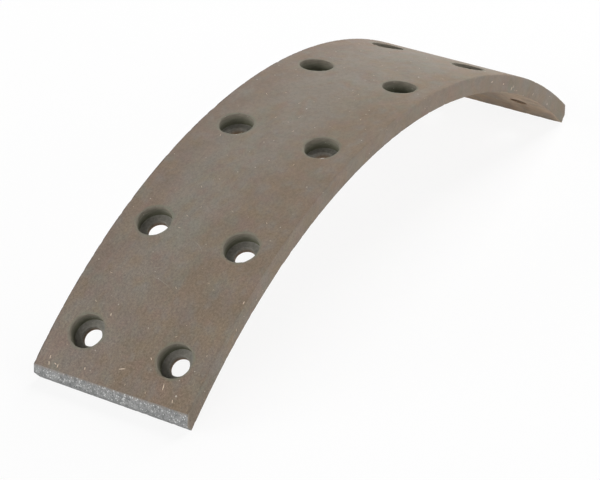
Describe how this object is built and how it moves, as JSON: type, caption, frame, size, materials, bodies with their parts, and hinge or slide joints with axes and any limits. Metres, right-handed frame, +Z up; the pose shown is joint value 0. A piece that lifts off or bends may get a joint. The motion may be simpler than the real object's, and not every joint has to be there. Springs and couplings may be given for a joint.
{
  "type": "brake shoe lining",
  "caption": "Curved drum brake friction lining with two columns of counterbored rivet holes and bevelled ends.",
  "frame": {"origin": "midway between the two ends, on the surface that their inner edges stand on", "axes": "+X along the chord from the leading end to the trailing end, +Y across the width and parallel to the drum's axis, +Z up through the crown"},
  "size_m": [0.2356, 0.0524, 0.0505],
  "materials": {
    "friction_composite": "matt moulded friction composite, brown, with grey where the end bevels are ground"
  },
  "bodies": {
    "root": {"friction_lining": "friction_composite"}
  },
  "joints": []
}
